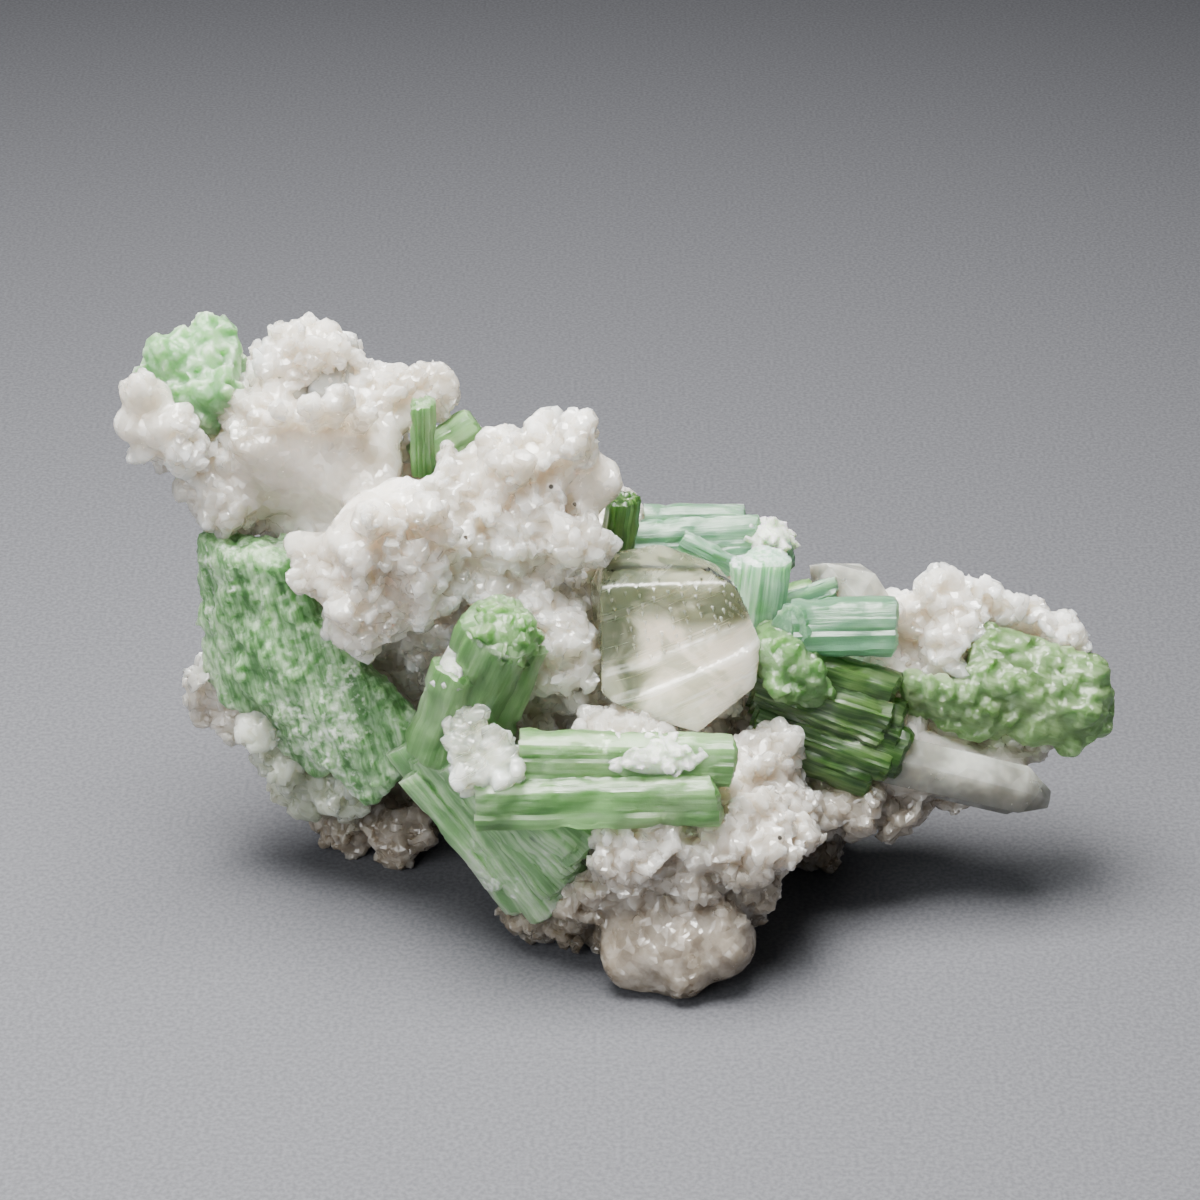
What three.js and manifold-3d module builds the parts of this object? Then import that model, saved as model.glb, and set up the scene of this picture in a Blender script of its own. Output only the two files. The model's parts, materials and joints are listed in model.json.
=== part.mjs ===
import * as THREE from "three";
import { ConvexGeometry } from "three/addons/geometries/ConvexGeometry.js";
import { mergeVertices } from "three/addons/utils/BufferGeometryUtils.js";
import Module from "manifold-3d";

// Tourmalinated quartz cluster: prisms of green tourmaline grown through a lumpy mass of milky quartz.
// Millimetres, +Z up, +X along the cluster's long side, and the showy side towards -Y.
// The quartz is one grown mass. Each group of tourmaline prisms that grew into each other is one solid.

// Driving dimensions.
const GAP = 0.3; // clearance between two minerals that touch
const FOOT_CUT = 0.5; // how much of the lowest lumps is cut flat, so that the cluster stands still
const TOURMALINE_SIDES = 6; // a tourmaline's section: a triangle with its corners cut
const TRIANGLE_SHARE = 0.08; // how much nearer to the axis every other corner of that section is
const PRISM_CHAMFER = 0.22; // the worn rim of a prism's end, as a share of its radius
const QUARTZ_SIDES = 6;
const LUMP_FEWEST = 8; // corners of a quartz lump, before those its size adds
const LUMP_PER_SIZE = 1.2; // corners added for each millimetre of its mean radius
const LUMP_ROUGHNESS = 0.12; // how unevenly those corners stand out

const GOLDEN_ANGLE = Math.PI * (3 - Math.sqrt(5));
const UP = new THREE.Vector3(0, 1, 0);

const wasm = await Module();
wasm.setup();
const { Manifold } = wasm;

THREE.MathUtils.seededRandom(42);
const random = () => THREE.MathUtils.seededRandom();
const spread = (size) => (random() * 2 - 1) * size;

// A closed three.js geometry as a solid. Corners in one place are merged and empty triangles left out.
function solidOf(geometry) {
  const bare = geometry.index ? geometry.toNonIndexed() : geometry.clone();
  bare.deleteAttribute("normal");
  bare.deleteAttribute("uv");
  const merged = mergeVertices(bare, 1e-4);
  const corners = merged.index.array;
  const kept = [];
  for (let i = 0; i < corners.length; i += 3) {
    const [a, b, c] = corners.slice(i, i + 3);
    if (a !== b && b !== c && c !== a) {
      kept.push(a, b, c);
    }
  }
  const vertProperties = new Float32Array(merged.attributes.position.array);
  return new Manifold(new wasm.Mesh({ numProp: 3, vertProperties, triVerts: new Uint32Array(kept) }));
}

const joined = (solids) => Manifold.union(solids);

// The biggest body of a solid: what a cut leaves as loose chips is dropped.
function mainBody(solid) {
  return solid.decompose().reduce((a, b) => (a.volume() > b.volume() ? a : b));
}

// A rough lump of quartz: the hull of points spread over an ellipsoid, each one pushed in a little.
function lump([x, y, z], [rx, ry, rz]) {
  const points = Math.round(LUMP_FEWEST + (LUMP_PER_SIZE * (rx + ry + rz)) / 3);
  const corners = [];
  for (let i = 0; i < points; i++) {
    const height = 1 - (2 * (i + 0.5)) / points;
    const turn = i * GOLDEN_ANGLE + spread(0.35);
    const ring = Math.sqrt(1 - height * height);
    const reach = 1 - LUMP_ROUGHNESS * random();
    const corner = new THREE.Vector3(rx * ring * Math.cos(turn), ry * ring * Math.sin(turn), rz * height);
    corners.push(corner.multiplyScalar(reach).add(new THREE.Vector3(x, y, z)));
  }
  return solidOf(new ConvexGeometry(corners));
}

// A closed rod from one point to another: a lathe of a few sides, turned to its axis.
function rod(from, to, profile, sides, bulge) {
  const start = new THREE.Vector3(...from);
  const axis = new THREE.Vector3(...to).sub(start);
  const points = profile(axis.length()).map(([r, along]) => new THREE.Vector2(r, along));
  const geometry = new THREE.LatheGeometry(points, sides);
  const place = geometry.attributes.position;
  for (let i = 0; i < place.count; i++) {
    const swell = 1 + bulge * Math.cos(3 * Math.atan2(place.getZ(i), place.getX(i)));
    place.setX(i, place.getX(i) * swell);
    place.setZ(i, place.getZ(i) * swell);
  }
  const turn = new THREE.Quaternion().setFromUnitVectors(UP, axis.normalize());
  geometry.applyQuaternion(turn).translate(start.x, start.y, start.z);
  return solidOf(geometry);
}

// A tourmaline prism with a flat end whose rim is worn.
function tourmaline([from, to, radius]) {
  const rim = PRISM_CHAMFER * radius;
  const profile = (length) => [
    [0, 0],
    [radius, 0],
    [radius, length - rim],
    [radius - rim, length],
    [0, length],
  ];
  return rod(from, to, profile, TOURMALINE_SIDES, TRIANGLE_SHARE);
}

// The room a prism needs in its neighbours: the prism grown by the gap, without the worn rim.
function prismRoom([from, to, radius]) {
  const profile = (length) => [
    [0, -GAP],
    [radius + GAP, -GAP],
    [radius + GAP, length + GAP],
    [0, length + GAP],
  ];
  return rod(from, to, profile, TOURMALINE_SIDES, TRIANGLE_SHARE);
}

// A quartz crystal: a six-sided prism that ends in a pyramid.
function quartzPoint(from, to, radius) {
  const profile = (length) => [
    [0, 0],
    [radius, 0],
    [radius, length - 1.2 * radius],
    [0, length],
  ];
  return rod(from, to, profile, QUARTZ_SIDES, 0);
}

// The tourmaline prisms, each as [start, end, radius].
const tourmalineGroups = {
  // the rough spray behind the upper left end
  tourmaline_top_left_spray: [
    [[-35.5, 9, 44], [-42.2, 8, 49.8], 1.9],
    [[-35.5, 9, 44], [-40.2, 7.8, 51.8], 2.0],
    [[-35, 9.5, 44], [-37.2, 9, 52.4], 2.0],
    [[-35, 8.5, 43.4], [-39.6, 5.4, 48.6], 2.1],
    [[-35, 8.5, 43.4], [-36.6, 5.2, 49.6], 1.9],
  ],
  // the frosted wall under the upper left end: upright prisms, then prisms that run down to the right
  tourmaline_left_wall: [
    [[-36.2, 3.6, 20], [-36.0, 3.6, 34.8], 2.2],
    [[-34.4, 1.4, 18.6], [-33.9, 1.4, 35], 2.4],
    [[-31.4, 0.8, 21], [-30.6, 0.8, 35], 2.7],
    [[-35.8, 6.8, 18.5], [-35.6, 6.8, 33], 2.5],
    [[-30.8, 0.0, 30.4], [-19.4, -5.2, 18.6], 2.3],
    [[-32.8, -0.4, 28.0], [-20.0, -5.8, 15.4], 2.4],
    [[-34.0, 0.0, 24.2], [-21.8, -4.8, 13.2], 2.3],
    [[-33.8, 1.2, 19.6], [-26.6, -1.8, 13.8], 2.0],
  ],
  // the short thick crystal in the middle, with a rounded top
  tourmaline_centre_stub: [
    [[-15.8, -7.6, 19.6], [-10.6, -8.2, 32.4], 3.4],
    [[-17.2, -9, 19.6], [-14.4, -9.4, 28.4], 2.2],
    [[-12.8, -7, 19.6], [-9.0, -7, 29.8], 2.4],
  ],
  // the sheaf that runs down to the right, under the front bar
  tourmaline_lower_fan: [
    [[-19.2, -6.4, 19.6], [-8.4, -11.4, 5.2], 2.3],
    [[-17.0, -8.4, 20], [-6.2, -12.8, 5.6], 2.4],
    [[-14.6, -9.6, 20], [-4.6, -13.2, 8.4], 2.4],
    [[-12.4, -11.2, 20.2], [-3.4, -13.6, 12.2], 2.3],
    [[-18.6, -9, 18], [-10.2, -12, 8], 1.7],
  ],
  // the long bar that points right across the front
  tourmaline_front_bar: [
    [[-9.2, -13.8, 22.2], [9.6, -14.1, 21.9], 2.4],
    [[-13.0, -15.6, 18.7], [8.2, -16.4, 19.7], 2.3],
    [[-7.4, -12.4, 20.4], [8.6, -12.6, 20.2], 2.2],
  ],
  // the knot of short crystals that point at the viewer
  tourmaline_mint_knot: [
    [[15.5, 1, 24.6], [15.3, -5.4, 25.0], 2.7],
    [[13.2, 1, 26], [13.4, -4.2, 26.2], 1.5],
    [[17.4, 0, 23.4], [17.4, -4.8, 23.4], 1.5],
  ],
  // dark prisms in the hollow right of the clear crystal
  tourmaline_right_fan: [
    [[12, -0.6, 22.2], [25.2, -3.4, 18.6], 2.5],
    [[12, -2.4, 20.4], [25.6, -5, 16.9], 2.3],
    [[12, -1, 24.8], [24.4, -3.0, 21.8], 2.5],
    [[12, -3.6, 18.4], [22.6, -5.6, 15.2], 2.1],
  ],
  // the small pale prism that stands behind the clear crystal's right end
  tourmaline_mint_upright: [
    [[12.3, 1.6, 25.6], [13.0, 2.2, 33.4], 2.1],
    [[10.8, 3, 25.6], [11.2, 3.4, 32.2], 1.4],
  ],
  // the pale lying prism, and the thin one behind it
  tourmaline_mint_bar: [
    [[15.2, -0.6, 27.5], [24.5, -0.9, 27.9], 2.6],
    [[14.4, 2.2, 28.0], [19.4, 3.4, 29.2], 1.2],
    [[15.0, -2.2, 28.6], [17.2, 0.4, 27.6], 1.9],
  ],
  // prisms that lie along the back edge
  tourmaline_back_upper: [
    [[0.6, 8, 31.6], [12.4, 8, 32.2], 2.0],
    [[2, 9.8, 32.8], [11.2, 9.8, 32.8], 1.4],
    [[5.0, 7, 30.4], [15.4, 7.2, 31.2], 1.7],
    [[5.4, 5.8, 33.0], [11.2, 4.0, 30.8], 0.9],
  ],
  // the crust of green crystals that ends the right arm
  tourmaline_right_arm: [
    [[31.6, 1.6, 24.2], [43.6, 0.8, 20.6], 2.6],
    [[32.0, -0.8, 23.0], [43.4, -1.0, 19.6], 2.4],
    [[33, 1, 20.4], [44.6, 0.2, 18.0], 2.3],
    [[32.4, -1.4, 19.6], [42, -1.4, 16.8], 2.2],
    [[25.4, -1.6, 22.6], [34.0, -2.8, 20.2], 1.5],
    [[26.0, -1.2, 20.4], [33.0, -2.6, 18.2], 1.3],
  ],
  tourmaline_thin_prism: [[[-17.8, 3.6, 41.2], [-17.7, 3.6, 48.2], 1.05]],
  tourmaline_behind_knobs: [[[-18.4, 6, 40.6], [-13.0, 7, 44], 1.9]],
  tourmaline_beside_knobs: [[[-0.8, 4.4, 31], [0.1, 5, 37.8], 1.5]],
  // crystals on the side away from the viewer
  tourmaline_rear_spray: [
    [[-12, 11, 26], [-19, 18.6, 33], 2.3],
    [[-11, 11, 26], [-14.5, 20.4, 30.4], 2.5],
    [[-10, 11, 25], [-9.6, 20.8, 28.6], 2.2],
  ],
  tourmaline_rear_bar: [
    [[5, 12, 15], [20, 15.4, 17.6], 2.5],
    [[6, 13, 18], [18.6, 16.2, 20.8], 2.2],
  ],
};

// Each group is cut back from the ones before it, so that no two share any room.
function tourmalineSolids() {
  const made = {};
  let taken = null;
  for (const [name, prisms] of Object.entries(tourmalineGroups)) {
    const whole = joined(prisms.map(tourmaline));
    made[name] = taken ? mainBody(whole.subtract(taken)) : whole;
    const room = joined(prisms.map(prismRoom));
    taken = taken ? taken.add(room) : room;
  }
  return { made, taken };
}

// The clear stubby crystal at the centre: `extra` moves each corner out from its middle, for its socket.
function clearCrystal(extra = 0) {
  const corners = [
    [-2, -5, 33.8],
    [10.2, -4.2, 33.8],
    [12.5, -4, 27.8],
    [12, -6, 24.6],
    [6.8, -8.4, 21.2],
    [3.4, -8.6, 22.4],
    [-1.8, -7.4, 24.2],
    [-1.6, 0.6, 34.6],
    [3.4, 1.4, 35.2],
    [8.4, 0.6, 33.6],
    [-3, 5, 29],
    [9.6, 2.4, 26.4],
    [0, 3, 20.6],
    [9, -1, 21.4],
  ].map((corner) => new THREE.Vector3(...corner));
  const middle = new THREE.Vector3();
  corners.forEach((corner) => middle.addScaledVector(corner, 1 / corners.length));
  corners.forEach((corner) => {
    const out = corner.clone().sub(middle).normalize();
    corner.addScaledVector(out, 2 * extra);
  });
  return solidOf(new ConvexGeometry(corners));
}

// The lumps of the quartz mass by region, each as [centre, radii].
const quartzRegions = {
  // hidden middle that carries everything
  core: [
    [[-25, 8, 32], [9, 8, 12]],
    [[-24, 8, 16], [8, 8, 12]],
    [[-12, 5, 26], [12, 9, 11]],
    [[4, 4, 19], [14, 10, 11]],
    [[-8, 4, 14], [13, 10, 10]],
    [[22, 2, 17.5], [12, 8, 6.5]],
    [[24, 6, 22.5], [7, 5, 5.5]],
    [[33, 2.6, 20], [9, 4.5, 6]],
    [[6.5, -6.5, 13], [10, 6, 5.5]],
    [[1.6, -11.5, 9], [6, 5, 4.5]],
    [[-10.5, -4.5, 13.5], [7, 5.5, 7]],
    [[0.5, -8.6, 19.5], [8, 4.4, 3.4]],
  ],
  upperLeftKnob: [
    [[-29.8, 8, 43.4], [8.8, 8.4, 8.6]],
    [[-23.4, 8, 44.4], [5.8, 6.4, 6.0]],
    [[-24.6, 5.2, 40.8], [6.6, 6.0, 6.6]],
    [[-31.6, 6.6, 39.6], [6.2, 5.4, 5.6]],
    [[-36.4, 5.6, 41.0], [5.0, 4.6, 4.8]],
    [[-34.8, 4.2, 37.6], [4.2, 3.4, 3.2]],
    [[-28.0, 8, 49.8], [4.8, 4.4, 4.2]],
    [[-33.8, 6.4, 47.2], [3.2, 3.2, 3.4]],
    [[-41.5, 3.6, 48.4], [2.4, 2.3, 2.4]],
    [[-41.8, 4.0, 45.2], [2.3, 2.2, 2.4]],
    [[-39.6, 3.8, 43.0], [3.0, 2.6, 2.8]],
    [[-17.0, 8, 47.2], [2.2, 2.2, 2.2]],
    [[-20.0, 8, 47.4], [2.8, 2.6, 2.4]],
  ],
  frontKnob: [
    [[-18.8, -3.6, 40.2], [4.8, 4.2, 4.6]],
    [[-21.6, -4.4, 38.4], [5.4, 4.8, 5.2]],
    [[-18.2, -4.6, 36.8], [4.8, 4.4, 4.8]],
    [[-22.6, -6.0, 34.6], [4.4, 3.8, 4.2]],
    [[-22.9, -6.8, 31.6], [3.2, 2.8, 3.0]],
    [[-26.6, -3.4, 35.8], [3.6, 3.2, 3.4]],
    [[-28.6, -2.6, 37.0], [2.2, 2.2, 2.0]],
    [[-18.8, -5.4, 33.0], [3.0, 2.8, 3.2]],
    [[-14.8, -3.6, 37.4], [2.6, 2.4, 3.0]],
    [[-14.6, -2.8, 33.4], [3.4, 3.0, 3.4]],
  ],
  topKnob: [
    [[-13.2, 1, 42.6], [3.6, 3.6, 3.6]],
    [[-10.6, 0.6, 43.8], [3.0, 3.0, 3.0]],
    [[-5.8, 2, 44.0], [4.0, 3.8, 4.0]],
    [[-1.8, 2, 41.2], [2.6, 2.6, 2.8]],
    [[-8.6, 0, 39.8], [5.6, 4.8, 4.8]],
    [[-4.8, -1.4, 37.0], [3.8, 3.4, 2.6]],
    [[-10.4, -1.2, 36.2], [4.2, 3.8, 3.8]],
    [[-7.6, -2.4, 31.6], [4.2, 3.4, 3.8]],
    [[-6.2, -3.4, 26.6], [4.8, 4.0, 5.6]],
  ],
  frontShelf: [
    [[-1.0, -12.6, 12.4], [4.6, 4.2, 3.6]],
    [[3.6, -12.4, 11.6], [4.8, 4.6, 4.2]],
    [[8.4, -11.8, 11.0], [4.8, 4.6, 4.4]],
    [[12.6, -10.2, 10.6], [4.2, 4.0, 4.2]],
    [[15.2, -8, 13.4], [3.6, 3.8, 4.4]],
    [[12.6, -7.2, 17.4], [3.2, 3.2, 3.8]],
    [[6.0, -10, 16.4], [8.0, 4.4, 3.2]],
    [[-3.6, -13.6, 7.6], [3.8, 3.2, 2.6]],
    [[20.4, -5.4, 11.6], [4.6, 3.6, 3.2]],
    [[24.6, -4.4, 10.2], [3.4, 3.0, 2.4]],
    [[26.8, -3.8, 12.6], [4.4, 3.0, 2.6]],
    [[30.6, -2.6, 10.0], [2.2, 2.0, 1.8]],
    [[14.2, -6.8, 19.6], [1.7, 1.7, 1.7]],
  ],
  feet: [
    [[5.6, -17.8, 4.2], [4.9, 4.6, 4.9]],
    [[1.4, -17.4, 4.0], [4.2, 4.2, 4.6]],
    [[8.6, -17.2, 5.2], [3.2, 3.4, 3.6]],
    [[1.8, -14, 7.8], [4.4, 3.6, 3.6]],
    [[10.6, -12, 6.2], [3.4, 3.2, 3.6]],
    [[-7.4, -10.8, 4.6], [4.4, 3.8, 3.6]],
    [[-4.0, -11.6, 3.8], [3.6, 3.4, 3.6]],
    [[-25.2, 4, 4.2], [4.4, 4.4, 3.6]],
    [[-20.4, 3.4, 3.6], [4.6, 4.6, 4.0]],
    [[18.2, 2.6, 4.2], [4.4, 4.4, 5.0]],
    [[14, 3, 9], [6, 5, 5]],
    [[-3, 13, 5.2], [6.4, 5.4, 6.4]],
  ],
  leftFlank: [
    [[-27.0, 3, 8.0], [4.4, 4.4, 4.2]],
    [[-29.8, 2.0, 10.8], [4.0, 4.0, 3.6]],
    [[-32.6, 0.4, 16.4], [3.6, 3.2, 3.6]],
    [[-30.6, 0.2, 13.6], [3.4, 3.2, 3.4]],
    [[-25.6, -1.0, 10.8], [3.8, 3.4, 3.0]],
    [[-36.6, 3.4, 16.6], [3.4, 3.2, 3.2]],
    [[-38.4, 4, 19.4], [2.0, 1.9, 2.8]],
  ],
  rightArm: [
    [[29.4, 3.4, 26.0], [3.4, 3.4, 3.8]],
    [[27.8, 4.6, 28.2], [2.4, 2.4, 2.4]],
    [[31.6, 4.6, 28.2], [2.6, 2.6, 2.4]],
    [[30.0, 0.8, 23.4], [2.6, 2.4, 3.4]],
    [[35.2, 4.6, 26.2], [2.4, 2.4, 2.2]],
    [[38.2, 4.6, 24.6], [2.4, 2.4, 2.2]],
    [[40.6, 4.6, 23.4], [2.3, 2.3, 2.1]],
    [[21.4, 5, 26.0], [3.6, 3.0, 3.2]],
    [[25.6, 1.8, 27.6], [1.7, 1.7, 2.2]],
    [[31.6, 1, 16.4], [5.6, 4.2, 3.8]],
    [[36.8, 1, 16.0], [4.6, 3.6, 3.2]],
  ],
  back: [
    [[-24, 15, 26], [7, 6, 8]],
    [[-8, 13, 20], [9, 6, 8]],
    [[9, 11, 22], [8, 5, 6]],
    [[-16, 14, 13], [8, 6, 6]],
    [[6, 14, 12], [7, 5, 5]],
    [[-2, 10, 32], [6, 5, 4]],
    [[-15, 11, 37], [6, 5, 4.6]],
    [[-29, 15, 38], [5, 4.4, 5]],
  ],
};

// Larger quartz crystals on the mass, each as [root, tip, radius].
const quartzPoints = [
  [[23.0, -4.2, 16.4], [38.6, -4.4, 12.4], 2.1],
  [[27.0, -2.4, 13.6], [37.4, -3.4, 11.2], 1.9],
  [[22.2, 5.2, 25.0], [18.8, 5.0, 31.0], 2.5],
  [[-30.0, 8.0, 44.0], [-29.4, 6.8, 54.4], 3.4],
  [[-28.0, 8.0, 44.0], [-24.8, 7.8, 53.4], 3.2],
  [[-20.0, -3.0, 39.0], [-22.4, -8.6, 43.6], 2.0],
  [[-18.6, -3.0, 39.0], [-16.4, -7.4, 44.0], 1.8],
  [[-10.0, 1.0, 41.0], [-9.0, -3.2, 46.2], 1.8],
  [[-5.8, 2.0, 43.0], [-3.2, -0.6, 48.4], 1.9],
];

function quartzMass(sockets) {
  const lumps = Object.values(quartzRegions).flat();
  const solids = [
    ...lumps.map(([centre, radii]) => lump(centre, radii)),
    ...quartzPoints.map(([root, tip, radius]) => quartzPoint(root, tip, radius)),
  ];
  return mainBody(joined(solids).subtract(sockets));
}

// The clump of clear plates that sits on the left end of the front bar.
function quartzClump(sockets) {
  const plates = [
    lump([-11.8, -13.8, 22.6], [3.6, 3.0, 3.2]),
    lump([-9.6, -14.6, 21.8], [2.8, 2.4, 2.6]),
    lump([-12.4, -15.4, 21.2], [3.0, 2.4, 2.4]),
    lump([-13.4, -13.2, 24.8], [2.0, 1.8, 2.2]),
    lump([-10.4, -12.8, 27.0], [1.5, 1.4, 1.9]),
    lump([-9.0, -13.0, 25.4], [1.5, 1.4, 1.6]),
    lump([-6.2, -16.4, 21.4], [2.2, 1.8, 1.6]),
  ];
  return mainBody(joined(plates).subtract(sockets));
}

function named(name, solid, material) {
  const { numProp, numVert, vertProperties, triVerts } = solid.getMesh();
  const places = new Float32Array(numVert * 3);
  for (let i = 0; i < numVert; i++) {
    places.set(vertProperties.subarray(i * numProp, i * numProp + 3), i * 3);
  }
  const geometry = new THREE.BufferGeometry();
  geometry.setAttribute("position", new THREE.BufferAttribute(places, 3));
  geometry.setIndex(new THREE.BufferAttribute(triVerts, 1));
  geometry.computeVertexNormals();
  const mesh = new THREE.Mesh(geometry, material);
  mesh.name = name;
  return mesh;
}

const finish = (color, roughness) => new THREE.MeshStandardMaterial({ color, roughness, metalness: 0 });
const milkyQuartz = finish(0xd9d3cd, 0.42);
const clearQuartz = finish(0xcdc8bb, 0.12);
const greenTourmaline = finish(0x8fae80, 0.32);
const mintTourmaline = finish(0xa6c9ae, 0.25);
const darkTourmaline = finish(0x4c7236, 0.28);

const tourmalineFinish = {
  tourmaline_top_left_spray: mintTourmaline,
  tourmaline_mint_upright: mintTourmaline,
  tourmaline_mint_bar: mintTourmaline,
  tourmaline_mint_knot: mintTourmaline,
  tourmaline_back_upper: mintTourmaline,
  tourmaline_right_fan: darkTourmaline,
  tourmaline_behind_knobs: darkTourmaline,
  tourmaline_beside_knobs: darkTourmaline,
};

// Everything under the resting plane is cut away, which leaves a small flat on each foot.
function groundCut() {
  const wide = 200;
  const deep = 40;
  const slab = new THREE.BoxGeometry(wide, wide, deep).translate(0, 0, FOOT_CUT - deep / 2);
  return solidOf(slab);
}

function cluster() {
  const group = new THREE.Group();
  const ground = groundCut();
  const { made, taken } = tourmalineSolids();
  const crystal = mainBody(clearCrystal().subtract(taken));
  const sockets = taken.add(clearCrystal(GAP));
  const mass = mainBody(quartzMass(sockets).subtract(ground));
  const clump = quartzClump(sockets.add(mass.translate(0, -GAP, GAP)).add(mass));

  group.add(named("quartz_mass", mass, milkyQuartz));
  group.add(named("clear_quartz_crystal", crystal, clearQuartz));
  group.add(named("quartz_clump_on_bar", clump, clearQuartz));
  for (const [name, solid] of Object.entries(made)) {
    group.add(named(name, solid, tourmalineFinish[name] ?? greenTourmaline));
  }
  const box = new THREE.Box3().setFromObject(group);
  const middle = box.getCenter(new THREE.Vector3());
  group.position.set(-middle.x, -middle.y, -box.min.z);
  return group;
}

export default cluster();
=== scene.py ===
import json
import math
import random

import bmesh
import bpy
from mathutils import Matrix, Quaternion, Vector, kdtree, noise

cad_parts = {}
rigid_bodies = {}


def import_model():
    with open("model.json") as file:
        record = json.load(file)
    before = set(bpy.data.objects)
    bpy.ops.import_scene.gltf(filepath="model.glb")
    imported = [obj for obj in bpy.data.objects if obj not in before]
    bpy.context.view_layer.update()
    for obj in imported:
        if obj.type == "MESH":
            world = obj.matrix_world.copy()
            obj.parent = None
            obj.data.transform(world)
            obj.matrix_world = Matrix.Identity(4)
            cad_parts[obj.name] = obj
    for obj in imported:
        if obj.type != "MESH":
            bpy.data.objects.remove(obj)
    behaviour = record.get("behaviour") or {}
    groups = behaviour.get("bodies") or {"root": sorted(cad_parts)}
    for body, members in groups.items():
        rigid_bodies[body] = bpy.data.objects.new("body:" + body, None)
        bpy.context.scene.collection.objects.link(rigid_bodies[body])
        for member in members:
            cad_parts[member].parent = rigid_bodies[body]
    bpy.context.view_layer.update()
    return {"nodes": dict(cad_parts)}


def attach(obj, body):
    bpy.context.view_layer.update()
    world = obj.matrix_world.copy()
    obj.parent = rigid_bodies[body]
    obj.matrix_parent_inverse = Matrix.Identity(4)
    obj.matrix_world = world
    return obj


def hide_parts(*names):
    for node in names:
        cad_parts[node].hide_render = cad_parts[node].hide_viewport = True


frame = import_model()
bpy.ops.object.select_all(action="DESELECT")

MM = 0.001
SENSOR_WIDTH = 36
TABLE_SIZE = 4
QUARTZ_IOR = 1.544
TOURMALINE_IOR = 1.62
LAMP_SPREAD = math.radians(112)
QUARTZ_TRIANGLES = 190000  # a piece stays under 200,000
SHELF_PULL = Vector((0, -0.87, 0.5)) * 4.5 * MM  # towards the viewer of the showy side
# The lists below are measured from a point under the middle of the quartz; the part's own frame starts here.
FRAME_START = Vector((0.495, -0.292, 0.5))


def spot(point):
    """A point of the lists, in millimetres, as a place in the part's frame."""
    return (Vector(point) - FRAME_START) * MM


# Camera: 30 degrees above the table, square to the showy side.
LOOK_DOWN = math.radians(30)
LOOK_FROM = 320 * MM
FRAME_WIDTH = 108 * MM  # what the picture spans at the cluster
aim = spot((-2, 0, 30.1))
forward = Vector((0, math.cos(LOOK_DOWN), -math.sin(LOOK_DOWN)))
camera = bpy.data.objects.new("camera", bpy.data.cameras.new("camera"))
camera.data.sensor_width = SENSOR_WIDTH
camera.data.lens = SENSOR_WIDTH * LOOK_FROM / FRAME_WIDTH
camera.data.clip_start = 0.01
camera.location = aim - forward * LOOK_FROM
camera.rotation_euler = forward.to_track_quat("-Z", "Y").to_euler()
bpy.context.scene.collection.objects.link(camera)
bpy.context.scene.camera = camera


def colour(hex_code):
    """An sRGB hex colour as linear red, green, blue and alpha."""
    parts = [int(hex_code[i : i + 2], 16) / 255 for i in (1, 3, 5)]
    return [p / 12.92 if p <= 0.04045 else ((p + 0.055) / 1.055) ** 2.4 for p in parts] + [1]


def add(tree, kind, settings=None, **links):
    """Adds a node. Settings are its fields or its sockets' values; links name the sockets that feed it."""
    node = tree.nodes.new(kind)
    for name, value in (settings or {}).items():
        if isinstance(name, str) and hasattr(node, name):
            setattr(node, name, value)
        else:
            node.inputs[name].default_value = value
    for name, source in links.items():
        socket = int(name[1:]) if name[0] == "_" and name[1:].isdigit() else name.replace("_", " ")
        tree.links.new(source, node.inputs[socket])
    return node


def new_material(name):
    """A node material with its Principled shader and its output, all else cleared."""
    material = bpy.data.materials.new(name)
    material.use_nodes = True
    tree = material.node_tree
    tree.nodes.clear()
    shader = tree.nodes.new("ShaderNodeBsdfPrincipled")
    output = tree.nodes.new("ShaderNodeOutputMaterial")
    tree.links.new(shader.outputs["BSDF"], output.inputs["Surface"])
    return material, tree, shader


def set_shader(shader, **values):
    """Sets the shader's sockets by name, with _ for a space."""
    for name, value in values.items():
        shader.inputs[name.replace("_", " ")].default_value = value


def per_mm(size):
    """The noise scale, on Object coordinates in metres, that gives spots about this many millimetres wide."""
    return 1 / (size * MM)


def ramp(tree, source, stops):
    """A colour ramp from (place, hex colour) stops."""
    node = add(tree, "ShaderNodeValToRGB", Fac=source)
    elements = node.color_ramp.elements
    while len(elements) < len(stops):
        elements.new(0.5)
    for element, (place, hex_code) in zip(elements, stops):
        element.position = place
        element.color = colour(hex_code)
    return node.outputs["Color"]


def fade(tree, source, low, high, at_low=0.0, at_high=1.0):
    """A smooth change from one value to another as the source goes from low to high."""
    node = add(
        tree,
        "ShaderNodeMapRange",
        {"interpolation_type": "SMOOTHSTEP", 1: low, 2: high, 3: at_low, 4: at_high},
        _0=source,
    )
    return node.outputs[0]


def mixed(tree, share, first, second):
    """Two colours mixed by a share."""
    node = add(tree, "ShaderNodeMix", {"data_type": "RGBA"})
    tree.links.new(share, node.inputs["Factor"])
    for socket, value in ((node.inputs[6], first), (node.inputs[7], second)):
        if isinstance(value, str):
            socket.default_value = colour(value)
        else:
            tree.links.new(value, socket)
    return node.outputs[2]


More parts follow.
